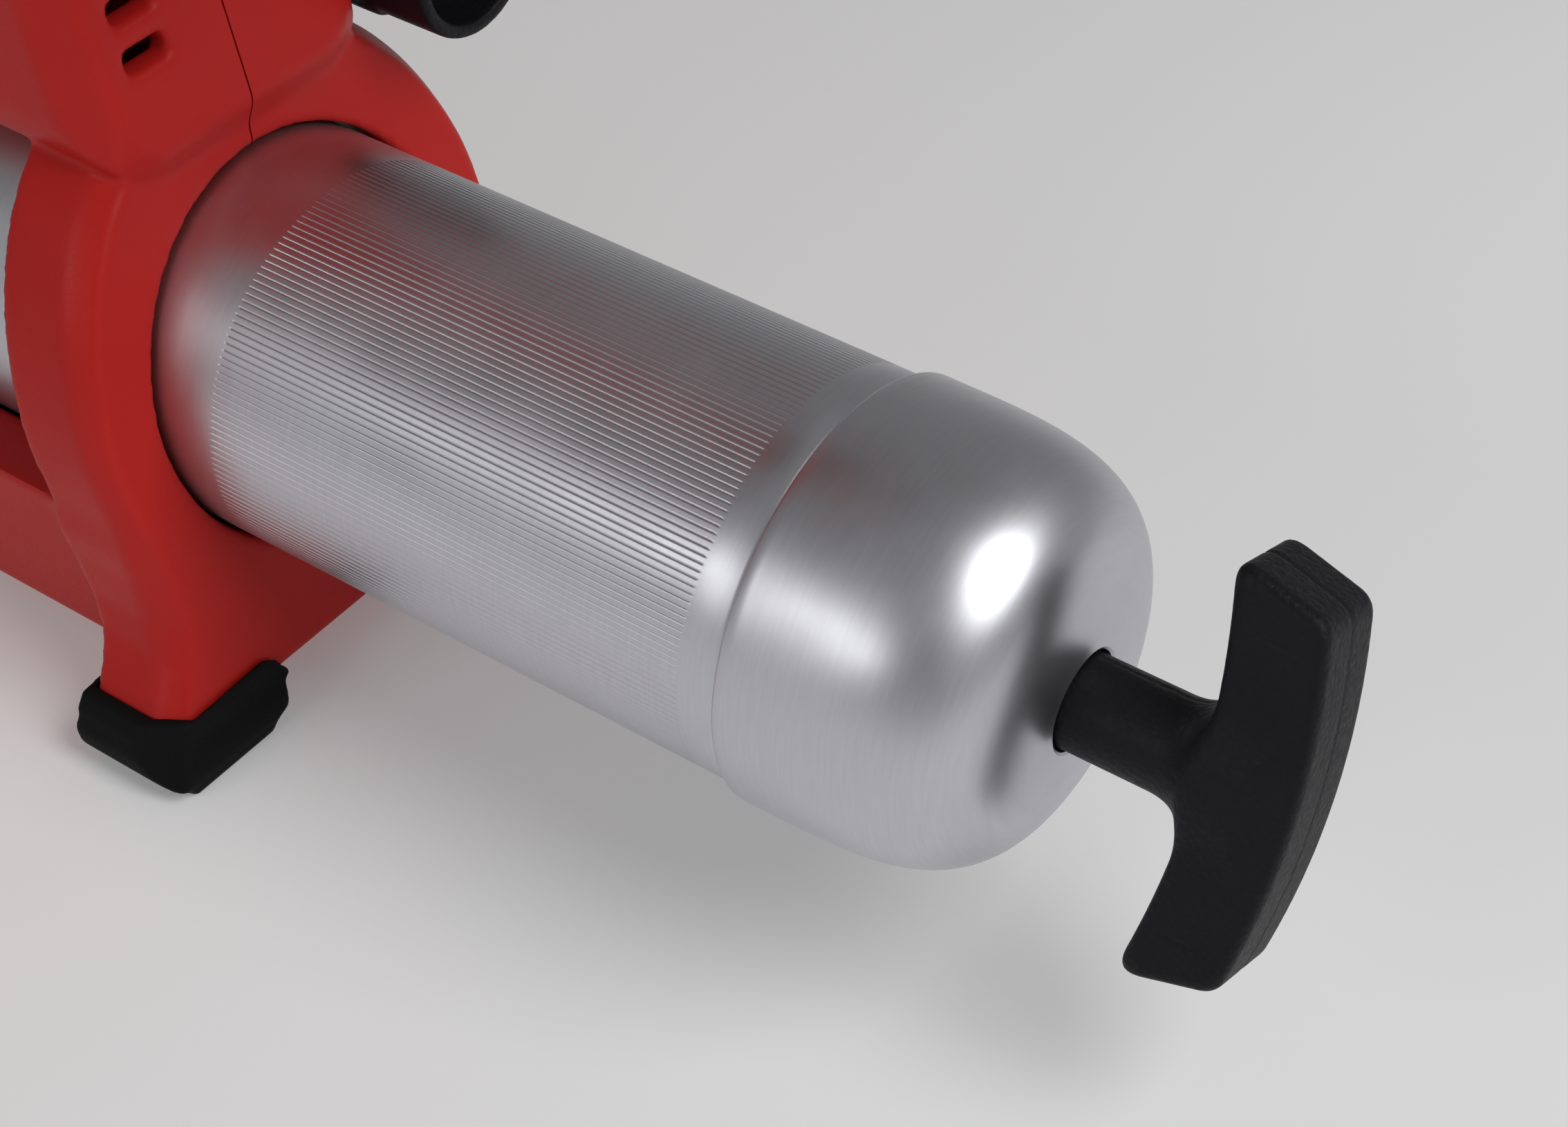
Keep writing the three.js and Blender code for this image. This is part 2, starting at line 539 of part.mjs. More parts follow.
// ---------------------------------------------------------------- controls, battery and fittings
function controls() {
  const paddle = outline([[109, 136], [109, 144.5], [101, 145], [81, 139.5], [79.4, 134], [84, 125.6], [90, 123.4],
    [100, 126], [106.5, 131]]);
  const bevel = { bevelEnabled: true, bevelSegments: 1, bevelThickness: 1.5, bevelSize: 1.2, bevelOffset: -1.2 };
  place('trigger', solid(alongY(paddle, -8, 8, bevel)), blackPlastic);
  place('switch_module', solid(box(82, 104, -8, 8, 152, 167)), blackPlastic);
  place('lock_button', solid(rodY(4.1, -23.5, 23.5, 117, 147, 20)), blackPlastic);
  const wheel = [];
  for (let i = 0; i < 24; i += 1) {
    const angle = (i / 24) * 2 * Math.PI;
    const radius = i % 2 ? 7.9 : 8.5;
    wheel.push([137 + radius * Math.cos(angle), 161 + radius * Math.sin(angle)]);
  }
  place('speed_dial', solid(alongY(outline(wheel), -4, 4)), blackPlastic);
  place('control_board', solid(box(38, 112, -13, 13, 90.2, 91.8)), circuitGreen);
  place('work_light_lens', turned([[166, 0], [166, 4.2], [171, 4.2], [172.5, 3], [172.5, 0]], 20), clearPlastic)
    .position.z = 82;
}

function battery() {
  const inner = grip.half - grip.wall - 0.5;
  const low = grip.under + grip.wall + 0.5;
  const high = grip.top - grip.wall - 2;
  const bevel = { bevelEnabled: true, bevelSegments: 1, bevelThickness: 4, bevelSize: 4, bevelOffset: -4 };
  const stick = solid(alongX(roundedBox(-inner, inner, low, high, 5), -46, 20));
  const base = solid(alongX(roundedBox(-grip.half, grip.half, grip.under - 3, grip.top + 0.5, 7), -76, -44.4, bevel));
  const pockets = [-1, 1].map((side) => solid(box(-66, -52, side * 21 - 4, side * 21 + 4, 146, 166)));
  place('battery_pack', cut(join(stick, base), ...pockets), blackPlastic);
  for (const [name, side] of [['battery_latch_left', 1], ['battery_latch_right', -1]]) {
    const [near, far] = side > 0 ? [19.8, 22] : [-22, -19.8];
    place(name, solid(alongY(roundedBox(-65.7, -52.3, 146.3, 165.7, 2), near, far)), redPlastic);
  }
  place('terminal_block', solid(box(20.6, 25, -12, 12, 142, 168)), blackPlastic);
}

function gripSkins() {
  const side = roundedBox(34, 108, 140, 170, 9);
  const bevel = { bevelEnabled: true, bevelSegments: 1, bevelThickness: 0.7, bevelSize: 1.2, bevelOffset: -1.2 };
  place('grip_skin_left', solid(alongY(side, grip.half + GAP, grip.half + 2.1, bevel)), blackRubber);
  place('grip_skin_right', solid(alongY(side, -grip.half - 2.1, -grip.half - GAP, bevel)), blackRubber);
}

// An open round socket on the right side, for parking the outlet's coupler.
function couplerHolder() {
  const { y, z, outer, inner, rear, front } = holder;
  const arm = alongX(outline([[-23.3, 42.2], [-27.4, 48.2], [-27.4, 60], [-31, 60], [-38, 57], [-38, 36.5], [-31, 35.4]]),
    9, front + 8);
  const tube = solid(rodX(outer, rear, front, y, z, 28));
  const bore = solid(rodX(inner, rear - 5, front - 3, y, z, 28));
  const mouth = solid(rodX(inner - 3, front - 5, front + 20, y, z, 20));
  const screwHole = solid(rodY(2, -60, -20, 18.5, 55, 12));
  place('coupler_holder', cut(join(solid(arm), tube), bore, mouth, screwHole), blackPlastic);
}

housing();
clamshellScrews();
feet();
barrelTube();
endCap();
plungerRod();
tHandle();
followerCup();
spring('follower_spring', { radius: 17, wire: 1.2, from: -125, to: 110.4, turns: 11, perTurn: 9, sides: 4 });
motor();
gearbox();
pumpHead();
yokeAndPiston();
controls();
battery();
gripSkins();
couplerHolder();

const bounds = new THREE.Box3().setFromObject(gun);
gun.position.set(-(bounds.min.x + bounds.max.x) / 2, -(bounds.min.y + bounds.max.y) / 2, -bounds.min.z);

export default gun;
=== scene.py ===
import json
import math

import bmesh
import bpy
import numpy as np
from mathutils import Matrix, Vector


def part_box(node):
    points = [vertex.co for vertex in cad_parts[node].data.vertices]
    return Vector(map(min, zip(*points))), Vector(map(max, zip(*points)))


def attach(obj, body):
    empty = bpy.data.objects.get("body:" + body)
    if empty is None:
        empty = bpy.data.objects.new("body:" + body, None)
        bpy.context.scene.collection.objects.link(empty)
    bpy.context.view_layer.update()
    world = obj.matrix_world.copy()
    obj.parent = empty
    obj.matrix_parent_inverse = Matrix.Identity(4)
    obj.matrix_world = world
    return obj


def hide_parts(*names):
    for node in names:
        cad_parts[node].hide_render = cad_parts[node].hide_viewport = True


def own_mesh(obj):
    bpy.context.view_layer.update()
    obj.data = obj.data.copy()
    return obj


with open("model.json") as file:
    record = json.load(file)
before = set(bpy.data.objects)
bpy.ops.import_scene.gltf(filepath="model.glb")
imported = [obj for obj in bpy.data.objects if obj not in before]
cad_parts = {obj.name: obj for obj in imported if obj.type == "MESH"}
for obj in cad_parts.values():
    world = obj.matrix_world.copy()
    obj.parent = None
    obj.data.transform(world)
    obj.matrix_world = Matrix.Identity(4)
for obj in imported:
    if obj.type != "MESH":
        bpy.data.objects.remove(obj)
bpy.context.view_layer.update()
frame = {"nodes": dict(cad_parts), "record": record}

import openvdb
from mathutils import Matrix, Vector

# Shapes are worked out in millimetres in the tool's own frame: +X forward along the barrel,
# +Y left, +Z up, and zero where the barrel's axis crosses the rear ring. TOOL moves them into the
# row frame.
TUBE_LOW, TUBE_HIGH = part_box("barrel_tube")
TUBE_REAR = -95.3
ZERO = Vector((TUBE_LOW.x - TUBE_REAR / 1000, 0, (TUBE_LOW.z + TUBE_HIGH.z) / 2))
TOOL = Matrix.Translation(ZERO) @ Matrix.Scale(0.001, 4)

SEAM = 0.15
BEAM_BOTTOM = -46
RING_LEAN = 0.2
RING_HALF_WIDTH, RING_HALF_HEIGHT = 42, 46.6
RING_THICK = 16.6
RING_HOLE = 30.6
BODY_LEAN = 0.24
BODY_REAR = 5.86 - BODY_LEAN * 38.8
BODY_FLOOR = 33.8
GRIP_HALF = 20.5
GRIP_TOP = 177
GRIP_REAR = -44
BEYOND = -60
LONG_LEG = -80
GRIP_UNDER = 134
WALL = 2.8
COLLAR_FRONT = 150
SHELL_FRONT = 170
PUMP = 159, 0

# Slanted edges: how deep along the axis and how wide across the face.
LEG_EDGE = 4, 2
SIDE_EDGE = 8, 4
FLOOR_EDGE = 2.9, 5


# ---------------------------------------------------------------- distance fields
class Block:
    """A block of sample points with its places along X, Y and Z."""

    def __init__(self, low, high, step):
        self.low, self.step = low, step
        spans = [np.arange(math.ceil((b - a) / step) + 1, dtype=np.float32) * step + a
                 for a, b in zip(low, high)]
        self.x = spans[0][:, None, None]
        self.y = spans[1][None, :, None]
        self.z = spans[2][None, None, :]
        self.shape = tuple(len(s) for s in spans)

    def mesh(self, name, field, share=1.0):
        """The surface where the field is zero, thinned to a share of its faces."""
        reach = 3 * self.step
        samples = np.empty(self.shape, dtype=np.float32)
        samples[:] = np.clip(field, -reach, reach)
        grid = openvdb.FloatGrid(background=reach)
        grid.copyFromArray(samples)
        points, triangles, quads = grid.convertToPolygons(0.0, 0.0)
        data = bpy.data.meshes.new(name)
        places = points * self.step + np.array(self.low)
        faces = [face[::-1] for face in quads.tolist() + triangles.tolist()]
        data.from_pydata(places.tolist(), [], faces)
        piece = bpy.data.objects.new(name, data)
        bpy.context.scene.collection.objects.link(piece)
        if share < 1:
            thin = piece.modifiers.new("thin", "DECIMATE")
            thin.ratio = share
            bake_modifiers(piece)
        return piece


def node_field(name, step):
    """The block around a CAD node, and the distance to the node's surface in it."""
    data = frame["nodes"][name].data
    data.calc_loop_triangles()
    to_tool = TOOL.inverted()
    points = np.array([to_tool @ v.co for v in data.vertices], dtype=np.float32)
    triangles = np.array([t.vertices[:] for t in data.loop_triangles], dtype=np.uint32)
    room = 5 * step
    b = Block(points.min(0).astype(float) - room, points.max(0).astype(float) + room, step)
    scaled = ((points - np.array(b.low)) / step).astype(np.float32)
    unit = openvdb.createLinearTransform(1.0)
    grid = openvdb.FloatGrid.createLevelSetFromPolygons(scaled, triangles, None, unit, 5)
    field = np.empty(b.shape, dtype=np.float32)
    grid.copyToArray(field)
    return b, field * step


def smoothed(field, rounds):
    """A field averaged with its neighbours, which rounds off edges and corners."""
    for _ in range(rounds):
        for axis in range(3):
            field = (np.roll(field, 1, axis) + 2 * field + np.roll(field, -1, axis)) / 4
    return field


def greater(a, b, soft=0.0):
    """The larger of two fields, with the crease between them rounded off: a cut or an edge."""
    top = np.maximum(a, b)
    if not soft:
        return top
    near = np.maximum(soft - np.abs(a - b), 0)
    return top + near * near / (4 * soft)


def lesser(a, b, soft=0.0):
    """The smaller of two fields, with a fillet between them: a join."""
    return -greater(-a, -b, soft)


def polygon(points, u, v):
    """Signed distance to a closed outline, negative inside."""
    corners = np.array(points, dtype=np.float32)
    nearest, inside = None, False
    for a, b in zip(corners, np.roll(corners, -1, axis=0)):
        edge = b - a
        du, dv = u - a[0], v - a[1]
        along = np.clip((du * edge[0] + dv * edge[1]) / (edge @ edge), 0, 1)
        gap = (du - edge[0] * along) ** 2 + (dv - edge[1] * along) ** 2
        nearest = gap if nearest is None else np.minimum(nearest, gap)
        slope = edge[0] / edge[1] if edge[1] else 0
        inside = inside ^ (((a[1] <= v) != (b[1] <= v)) & (du < dv * slope))
    return np.where(inside, -1, 1) * np.sqrt(nearest)


def arc(cx, cy, rx, ry, start, end, count):
    angles = np.radians(np.linspace(start, end, count))
    return [(cx + rx * math.cos(t), cy + ry * math.sin(t)) for t in angles]


def slab(along, low, high):
    return np.maximum(low - along, along - high)


def brick(block, x0, x1, y0, y1, z0, z1, soft=0.0):
    sides = greater(slab(block.x, x0, x1), slab(block.y, y0, y1), soft)
    return greater(sides, slab(block.z, z0, z1), soft)


def round_of(u, v, radius):
    return np.sqrt(u * u + v * v) - radius


# ---------------------------------------------------------------- pieces
def bake_modifiers(piece):
    bpy.context.view_layer.update()
    solved = piece.evaluated_get(bpy.context.evaluated_depsgraph_get())
    data = bpy.data.meshes.new_from_object(solved)
    piece.modifiers.clear()
    piece.data = data


def place(piece, body, slot, material, *nodes, smooth=True):
    """Moves a piece from the tool's frame to the row frame, hangs it on its body and hides the CAD
    nodes it stands for.
    """
    piece.data.transform(TOOL)
    piece.data.polygons.foreach_set("use_smooth", [smooth] * len(piece.data.polygons))
    piece.data.materials.clear()
    piece.data.materials.append(material)
    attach(piece, body)
    if nodes:
        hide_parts(*nodes)
    return piece


def from_mesh(name, mesh):
    data = bpy.data.meshes.new(name)
    mesh.to_mesh(data)
    mesh.free()
    piece = bpy.data.objects.new(name, data)
    bpy.context.scene.collection.objects.link(piece)
    return piece


def lathe(name, profile, sides=96, wave=None):
    """A profile of (x, radius) pairs turned about X.

    wave(x, radius, i) says how far the point at side i is lowered.
    """
    mesh = bmesh.new()
    rings = []
    for x, radius in profile:
        if radius < 1e-6:
            rings.append([mesh.verts.new((x, 0, 0))])
            continue
        ring = []
        for i in range(sides):
            angle = 2 * math.pi * i / sides
            r = radius - (wave(x, radius, i) if wave else 0)
            ring.append(mesh.verts.new((x, r * math.cos(angle), r * math.sin(angle))))
        rings.append(ring)
    closed = profile[0] == profile[-1]
    if closed:
        for v in rings.pop():
            mesh.verts.remove(v)
        rings.append(rings[0])
    for first, second in zip(rings, rings[1:]):
        for i in range(sides):
            j = (i + 1) % sides
            if len(first) == 1:
                mesh.faces.new((first[0], second[i], second[j]))
            elif len(second) == 1:
                mesh.faces.new((first[i], second[0], first[j]))
            else:
                mesh.faces.new((first[i], second[i], second[j], first[j]))
    bmesh.ops.recalc_face_normals(mesh, faces=mesh.faces)
    return from_mesh(name, mesh)


ALONG_Y = Matrix.Rotation(math.radians(90), 4, "Z")
ALONG_MINUS_Y = Matrix.Rotation(math.radians(-90), 4, "Z")
ALONG_Z = Matrix.Rotation(math.radians(-90), 4, "Y")


def turned(name, profile, at=(0, 0, 0), turn=Matrix.Identity(4), sides=96, wave=None):
    """A lathe with eased corners, turned to face another way and set down at a point."""
    piece = lathe(name, eased(profile), sides, wave)
    piece.data.transform(Matrix.Translation(at) @ turn)
    sharpen(piece, 40)
    return piece


def eased(profile, radius=0.4, steps=3):
    """A profile with each corner turned into a small round."""
    points = [Vector(p) for p in profile]
    closed = profile[0] == profile[-1]
    if closed:
        points.pop()
    made = []
    for i, here in enumerate(points):
        if not closed and i in (0, len(points) - 1):
            made.append(tuple(here))
            continue
        before, after = points[i - 1] - here, points[(i + 1) % len(points)] - here
        cut = min(radius, before.length * 0.45, after.length * 0.45)
        a, b = here + before.normalized() * cut, here + after.normalized() * cut
        for s in range(steps + 1):
            t = s / steps
            made.append(tuple(a * (1 - t) ** 2 + here * 2 * t * (1 - t) + b * t * t))
    if closed:
        made.append(made[0])
    return made


# ---------------------------------------------------------------- materials
def shader(name, **sockets):
    material = bpy.data.materials.new(name)
    material.use_nodes = True
    nodes = material.node_tree.nodes
    bsdf = nodes["Principled BSDF"]
    for key, value in sockets.items():
        bsdf.inputs[key.replace("_", " ")].default_value = value
    return material, nodes, material.node_tree.links, bsdf


def node(nodes, kind, **values):
    made = nodes.new("ShaderNode" + kind)
    for key, value in values.items():
        if key in made.inputs.keys():
            made.inputs[key].default_value = value
        else:
            setattr(made, key, value)
    return made


def noise(nodes, links, scale, detail=3.0, stretch=(1, 1, 1)):
    """Noise in waves per metre of the row frame, stretched along X, Y and Z."""
    place_node = node(nodes, "TexCoord")
    mapping = node(nodes, "Mapping")
    mapping.inputs["Scale"].default_value = stretch
    links.new(place_node.outputs["Object"], mapping.inputs["Vector"])
    texture = node(nodes, "TexNoise", Scale=scale, Detail=detail)
    links.new(mapping.outputs["Vector"], texture.inputs["Vector"])
    return texture


def ramp(nodes, links, source, stops):
    made = node(nodes, "ValToRGB")
    elements = made.color_ramp.elements
    while len(elements) < len(stops):
        elements.new(0.5)
    for element, (place_on, color) in zip(elements, stops):
        element.position = place_on
        element.color = color if len(color) == 4 else (*color, 1)
    links.new(source, made.inputs["Fac"])
    return made


def grey(value):
    return (value, value, value, 1)


def plastic(name, color, dark, rough, grain=0.12, scale=2600, specular=0.45):
    """Moulded plastic: a fine spark-eroded texture with faint flow marks."""
    material, nodes, links, bsdf = shader(name)
    bsdf.inputs["Specular IOR Level"].default_value = specular
    broad = noise(nodes, links, 35, 2)
    tint = ramp(nodes, links, broad.outputs["Fac"], [(0.3, dark), (0.7, color)])
    links.new(tint.outputs["Color"], bsdf.inputs["Base Color"])
    fine = noise(nodes, links, scale, 4)
    shine = ramp(nodes, links, fine.outputs["Fac"],
                 [(0.3, grey(rough - 0.05)), (0.7, grey(rough + 0.07))])
    links.new(shine.outputs["Color"], bsdf.inputs["Roughness"])
    bump = node(nodes, "Bump", Strength=grain, Distance=0.0002)
    links.new(fine.outputs["Fac"], bump.inputs["Height"])
    links.new(bump.outputs["Normal"], bsdf.inputs["Normal"])
    return material


def metal(name, color, dark, rough, brush=(1, 1, 1), scale=900, grain=0.05, anisotropy=0.0):
    """Metal with brush marks: noise that is stretched along the way it was brushed."""
    material, nodes, links, bsdf = shader(name, Metallic=1.0)
    lines = noise(nodes, links, scale, 4, brush)
    tint = ramp(nodes, links, lines.outputs["Fac"], [(0.3, dark), (0.7, color)])
    links.new(tint.outputs["Color"], bsdf.inputs["Base Color"])
    broad = noise(nodes, links, 60, 3)
    shine = ramp(nodes, links, broad.outputs["Fac"],
                 [(0.3, grey(rough - 0.03)), (0.7, grey(rough + 0.05))])
    links.new(shine.outputs["Color"], bsdf.inputs["Roughness"])
    bump = node(nodes, "Bump", Strength=grain, Distance=0.0001)
    links.new(lines.outputs["Fac"], bump.inputs["Height"])
    links.new(bump.outputs["Normal"], bsdf.inputs["Normal"])
    if anisotropy:
        bsdf.inputs["Anisotropic"].default_value = anisotropy
        tangent = node(nodes, "Tangent", direction_type="RADIAL", axis="X")
        links.new(tangent.outputs["Tangent"], bsdf.inputs["Tangent"])
    return material


RED = plastic("red_plastic", (0.5, 0.017, 0.014, 1), (0.455, 0.015, 0.012, 1),
              rough=0.4, grain=0.12, scale=2600, specular=0.16)
BLACK = plastic("black_plastic", (0.0085, 0.0085, 0.0115, 1), (0.005, 0.005, 0.0072, 1),
                rough=0.5, grain=0.9, scale=1200, specular=0.17)
RUBBER = plastic("black_rubber", (0.0065, 0.0065, 0.0065, 1), (0.004, 0.004, 0.004, 1),
                 rough=0.62, grain=0.3, scale=2400, specular=0.1)
ALUMINIUM = metal("anodised_aluminium", (0.62, 0.62, 0.66, 1), (0.585, 0.585, 0.625, 1),
                  rough=0.38, brush=(1, 0.06, 0.06), scale=2200, grain=0.015, anisotropy=0.15)
STEEL = metal("ground_steel", (0.58, 0.58, 0.6, 1), (0.5, 0.5, 0.52, 1),
              rough=0.26, brush=(1, 0.05, 0.05), scale=2500, grain=0.05)
CAST = metal("cast_metal", (0.5, 0.51, 0.52, 1), (0.4, 0.41, 0.42, 1),
             rough=0.45, brush=(1, 1, 1), scale=1200, grain=0.25)
BRASS = metal("turned_brass", (0.72, 0.52, 0.24, 1), (0.62, 0.44, 0.19, 1),
              rough=0.28, brush=(0.05, 1, 0.05), scale=2500, grain=0.05)
BOARD = plastic("circuit_board", (0.02, 0.16, 0.07, 1), (0.015, 0.12, 0.05, 1),
                rough=0.35, grain=0.1, scale=1500)
CLEAR = plastic("clear_plastic", (0.75, 0.8, 0.84, 1), (0.7, 0.76, 0.8, 1),
                rough=0.12, grain=0.05, scale=900, specular=0.6)
SLOTS = {"red_plastic": RED, "black_plastic": BLACK, "black_rubber": RUBBER,
         "anodised_aluminium": ALUMINIUM, "cast_metal": CAST, "steel": STEEL, "brass": BRASS,
         "circuit_board": BOARD, "clear_plastic": CLEAR}


def paint_cad_nodes():
    for part in frame["record"]["subparts"]:
        shown = frame["nodes"][part["node"]]
        shown.data.materials.clear()
        shown.data.materials.append(SLOTS[part["material_slot"]])
        for face in shown.data.polygons:
            face.material_index = 0


# ---------------------------------------------------------------- red housing
def ring_outline(half_width, half_height, legs, foot=-49.2):
    """The ring seen from behind, with or without splayed legs. A lower foot makes them longer."""
    tangent = math.degrees(math.asin((-12 if legs else -28) / half_height))
    spread = 48 + max(-46 - foot, 3.2) * 0.6 - 1.9
    right = [(26, BEAM_BOTTOM)]
    if legs:
        right = [(23.5, -46), (30, foot), (spread - 3, foot), (spread, foot + 3.2),
                 (43.9, -39.5), (40, -33.5), (38.6, -28), (39.1, -20)]
    over = arc(0, 0, half_width, half_height, tangent, 180 - tangent, 60)
    left = [(-y, z) for y, z in reversed(right)]
    return [(0, BEAM_BOTTOM), *right, *over, *left]


def body_outline(inset, floor=BODY_FLOOR):
    half, low, high = 27 - inset, floor + inset, 96 - inset
    corner = arc(half - 12, low + 12, 12, 12, -90, 0, 12)
    side = [*corner, (half, high - 14), (half - 9, high - 3), (half - 17, high)]
    return side + [(-y, z) for y, z in reversed(side)]


def beam_outline(inset):
    side = [(32 - inset, BEAM_BOTTOM + inset), (36.5 - inset, -16 - inset)]
    return side + [(-y, z) for y, z in reversed(side)]


def handle_outline(inset):
    return [(16 + inset, 86), (2 + inset, 116), (-12, 127 + inset), (BEYOND, 133 + inset),
            (BEYOND, GRIP_TOP - inset), (60, GRIP_TOP - 1 - inset), (122 - inset, 171 - inset),
            (148 - inset, 152 - inset), (158 - inset, 118), (160 - inset, 86)]


def slope(section, along, low, deep, wide):
    """A slanted cut along the rear edge of a section, deep along and wide across."""
    return ((section + wide) * deep - (along - low) * wide) / math.hypot(deep, wide)


def chamfered(section, along, low, high, deep, wide, soft=0.5):
    """A section pushed from low to high, with its rear edge cut back."""
    ends = greater(section, slab(along, low, high), soft)
    return greater(ends, slope(section, along, low, deep, wide), soft)


def housing_field(b):
    ring_x = b.x - RING_LEAN * b.z
    ring_x = ring_x - 0.75 * np.clip((b.z - 12) / 18, 0, 1)
    body_x = b.x - BODY_LEAN * b.z
    outline = ring_outline(RING_HALF_WIDTH, RING_HALF_HEIGHT, True)
    ring = greater(polygon(outline, b.y, b.z), slab(ring_x, 0, RING_THICK), 0.5)
    long_legs = polygon(ring_outline(RING_HALF_WIDTH, RING_HALF_HEIGHT, True, LONG_LEG), b.y, b.z)
    ring = greater(ring, slope(long_legs, ring_x, 0, *LEG_EDGE), 0.5)
    upper = greater(polygon(body_outline(0), b.y, b.z), slab(body_x, BODY_REAR, 178), 0.4)
    sides = polygon(body_outline(0, BEYOND), b.y, b.z)
    upper = greater(upper, slope(sides, body_x, BODY_REAR, *SIDE_EDGE), 0.4)
    section = polygon(body_outline(0), b.y, b.z)
    upper = greater(upper, slope(section, body_x, BODY_REAR, *FLOOR_EDGE), 0.3)
    beam = greater(polygon(beam_outline(0), b.y, b.z), slab(b.x, 6, COLLAR_FRONT), 1)
    collar = chamfered(polygon(ring_outline(39, 42, False), b.y, b.z), b.x, 128, COLLAR_FRONT, 3, 2)
    loop = greater(polygon(handle_outline(0), b.x, b.z), slab(b.y, -GRIP_HALF, GRIP_HALF), 7)
    loop = greater(loop, GRIP_REAR - b.x, 1)
    return lesser(lesser(lesser(lesser(ring, upper, 0.3), beam, 10), collar, 2), loop, 3)


def housing_hollow(b):
    body_x = b.x - BODY_LEAN * b.z
    ends = slab(body_x, BODY_REAR + WALL + 2, SHELL_FRONT)
    motor_bay = greater(polygon(body_outline(WALL), b.y, b.z), ends)
    corner = slope(polygon(body_outline(0, BEYOND), b.y, b.z), body_x, BODY_REAR, *SIDE_EDGE)
    motor_bay = np.maximum(np.maximum(motor_bay, corner + WALL), b.x - 167.2)
    low_bay = greater(polygon(beam_outline(3), b.y, b.z), slab(b.x, 22, 126))
    low_bay = np.maximum(low_bay, 34.6 - np.sqrt(b.y ** 2 + b.z ** 2))
    inner = GRIP_HALF - WALL
    bar = greater(polygon(handle_outline(WALL), b.x, b.z), slab(b.y, -inner, inner), 4)
    finger = rounded_box(b.x, b.z, 27.2, 116.8, 98.2, GRIP_UNDER + WALL, 10)
    mouth = brick(b, -60, -30, -inner, inner, GRIP_UNDER + WALL, GRIP_TOP - WALL - 1.5)
    return lesser(lesser(np.maximum(bar, -finger), mouth), lesser(motor_bay, low_bay))


def rounded_box(u, v, u0, u1, v0, v1, radius):
    du = np.abs(u - (u0 + u1) / 2) - (u1 - u0) / 2 + radius
    dv = np.abs(v - (v0 + v1) / 2) - (v1 - v0) / 2 + radius
    outside = np.sqrt(np.maximum(du, 0) ** 2 + np.maximum(dv, 0) ** 2)
    return outside + np.minimum(np.maximum(du, dv), 0) - radius


# Each screw's place along X and Z, and where its head ends along Y.
SCREWS = {"screw_beam_rear": (42, -39, -22), "screw_beam_front": (112, -39, -22),
          "screw_rear_post": (17, 117, -13), "screw_front_post": (136, 110, -13),
          "screw_handle_front": (124, 158, -13)}


def housing_cuts(b):
    """Everything that is cut through the shell, and how softly its edges are broken."""
    radial = np.sqrt(b.y ** 2 + b.z ** 2)
    cuts = [
        # the barrel's hole, and the wider one for the pump head
        (np.maximum(radial - RING_HOLE, b.x - 127.5), 0.6),
        (np.maximum(radial - 35.4, 127.5 - b.x), 0),
        # the hand hole, and openings for the trigger, lock pin and dial
        (rounded_box(b.x, b.z, 30, 114, 101, GRIP_UNDER, 10), 4),
        (brick(b, 76, 111, -8.6, 8.6, 125, 142), 1),
        (round_of(b.x - 117, b.z - 147, 4.5), 0.8),
        (np.maximum(round_of(b.x - 137, b.z - 161, 9), np.abs(b.y) - 4.6), 0.8),
        # room for the pump head, and the lamp's hole
        (brick(b, 148, 175, -14, 14, 20, 46.5), 0),
        (brick(b, 149, 175, -20.5, 20.5, 0, 40.4), 0),
        (np.maximum(round_of(b.y, b.z - 82, 4.6), slab(b.x, 160, 180)), 0.5),
    ]
    for row in range(4):
        z = 52.3 + row * 7
        for y in (-14.7, 14.7):
            cuts.append((brick(b, 0, 24, y - 3.8, y + 3.8, z - 1.6, z + 1.6, 0.6), 1.0))
    for x, z, head in SCREWS.values():
        cuts.append((np.maximum(round_of(b.x - x, b.z - z, 4.3), b.y - head), 0.8))
        cuts.append((np.maximum(round_of(b.x - x, b.z - z, 2.2), slab(b.y, head - 1, 16)), 0))
    return cuts


def housing():
    b = Block((-47, -50, -52), (174, 50, 180), 0.7)
    outer = housing_field(b)
    bosses = None
    for x, z, head in SCREWS.values():
        around_head = np.maximum(round_of(b.x - x, b.z - z, 6.4), b.y - head - 1.5)
        post = np.minimum(round_of(b.x - x, b.z - z, 5), around_head)
        bosses = post if bosses is None else np.minimum(bosses, post)
    hollow = np.maximum(housing_hollow(b), -bosses)
    field = np.maximum(outer, -hollow)
    field = np.maximum(field, b.x - SHELL_FRONT)
    for cut, soft in housing_cuts(b):
        field = greater(field, -cut, soft)
    whole = b.mesh("housing_whole", smoothed(field, 1), 0.36)
    for name, side in (("housing_left", 1), ("housing_right", -1)):
        mesh = bmesh.new()
        mesh.from_mesh(whole.data)
        geometry = mesh.verts[:] + mesh.edges[:] + mesh.faces[:]
        cut = bmesh.ops.bisect_plane(mesh, geom=geometry, dist=1e-5, plane_co=(0, side * SEAM, 0),
                                     plane_no=(0, side, 0), clear_inner=True)
        rim = [e for e in cut["geom_cut"] if isinstance(e, bmesh.types.BMEdge)]
        bmesh.ops.triangle_fill(mesh, use_beauty=True, edges=rim)
        bmesh.ops.recalc_face_normals(mesh, faces=mesh.faces)
        shell = from_mesh(name + "_shell", mesh)
        place(shell, "gun", "red_plastic", RED, name)
        sharpen(shell)
    bpy.data.objects.remove(whole)


def sharpen(piece, angle=50):
    """Keeps edges that turn by more than the angle crisp, and the rest smooth."""
    piece.data.set_sharp_from_angle(angle=math.radians(angle))


